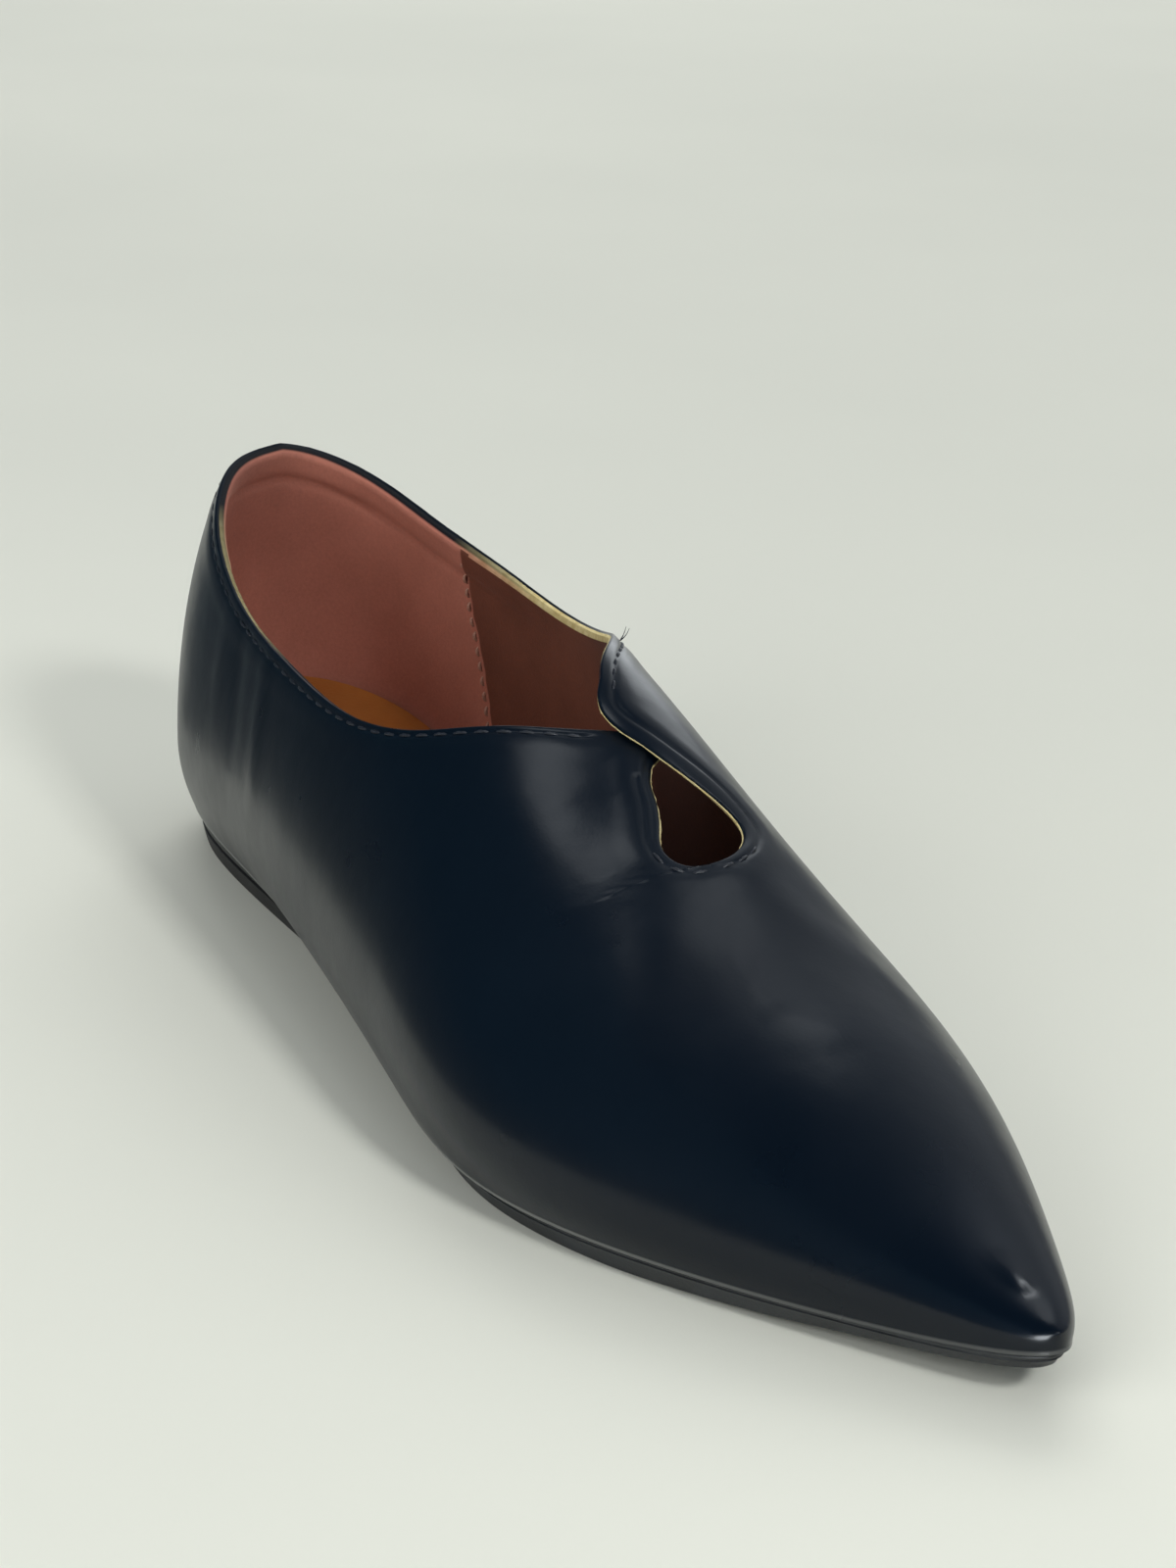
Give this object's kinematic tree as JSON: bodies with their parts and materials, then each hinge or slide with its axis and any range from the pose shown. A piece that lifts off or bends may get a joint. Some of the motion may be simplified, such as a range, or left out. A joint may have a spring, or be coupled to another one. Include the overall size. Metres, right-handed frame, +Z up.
{
  "type": "flat shoe",
  "caption": "Pointed flat shoe for the right foot: hollow leather upper with crossed throat flaps over a keyhole, insole with a heel pad, thin outsole, low heel.",
  "frame": {"origin": "middle of the box on the floor plane, under the sole", "axes": "+X to the toe, +Y to the wearer's left, +Z up"},
  "size_m": [0.262, 0.0798, 0.0734],
  "materials": {
    "upper": "smooth polished navy-black",
    "insole": "smooth orange-tan",
    "outsole": "satin black",
    "heel": "matt black"
  },
  "bodies": {
    "root": {"upper": "upper", "insole": "insole", "outsole": "outsole", "heel": "heel"}
  },
  "joints": []
}
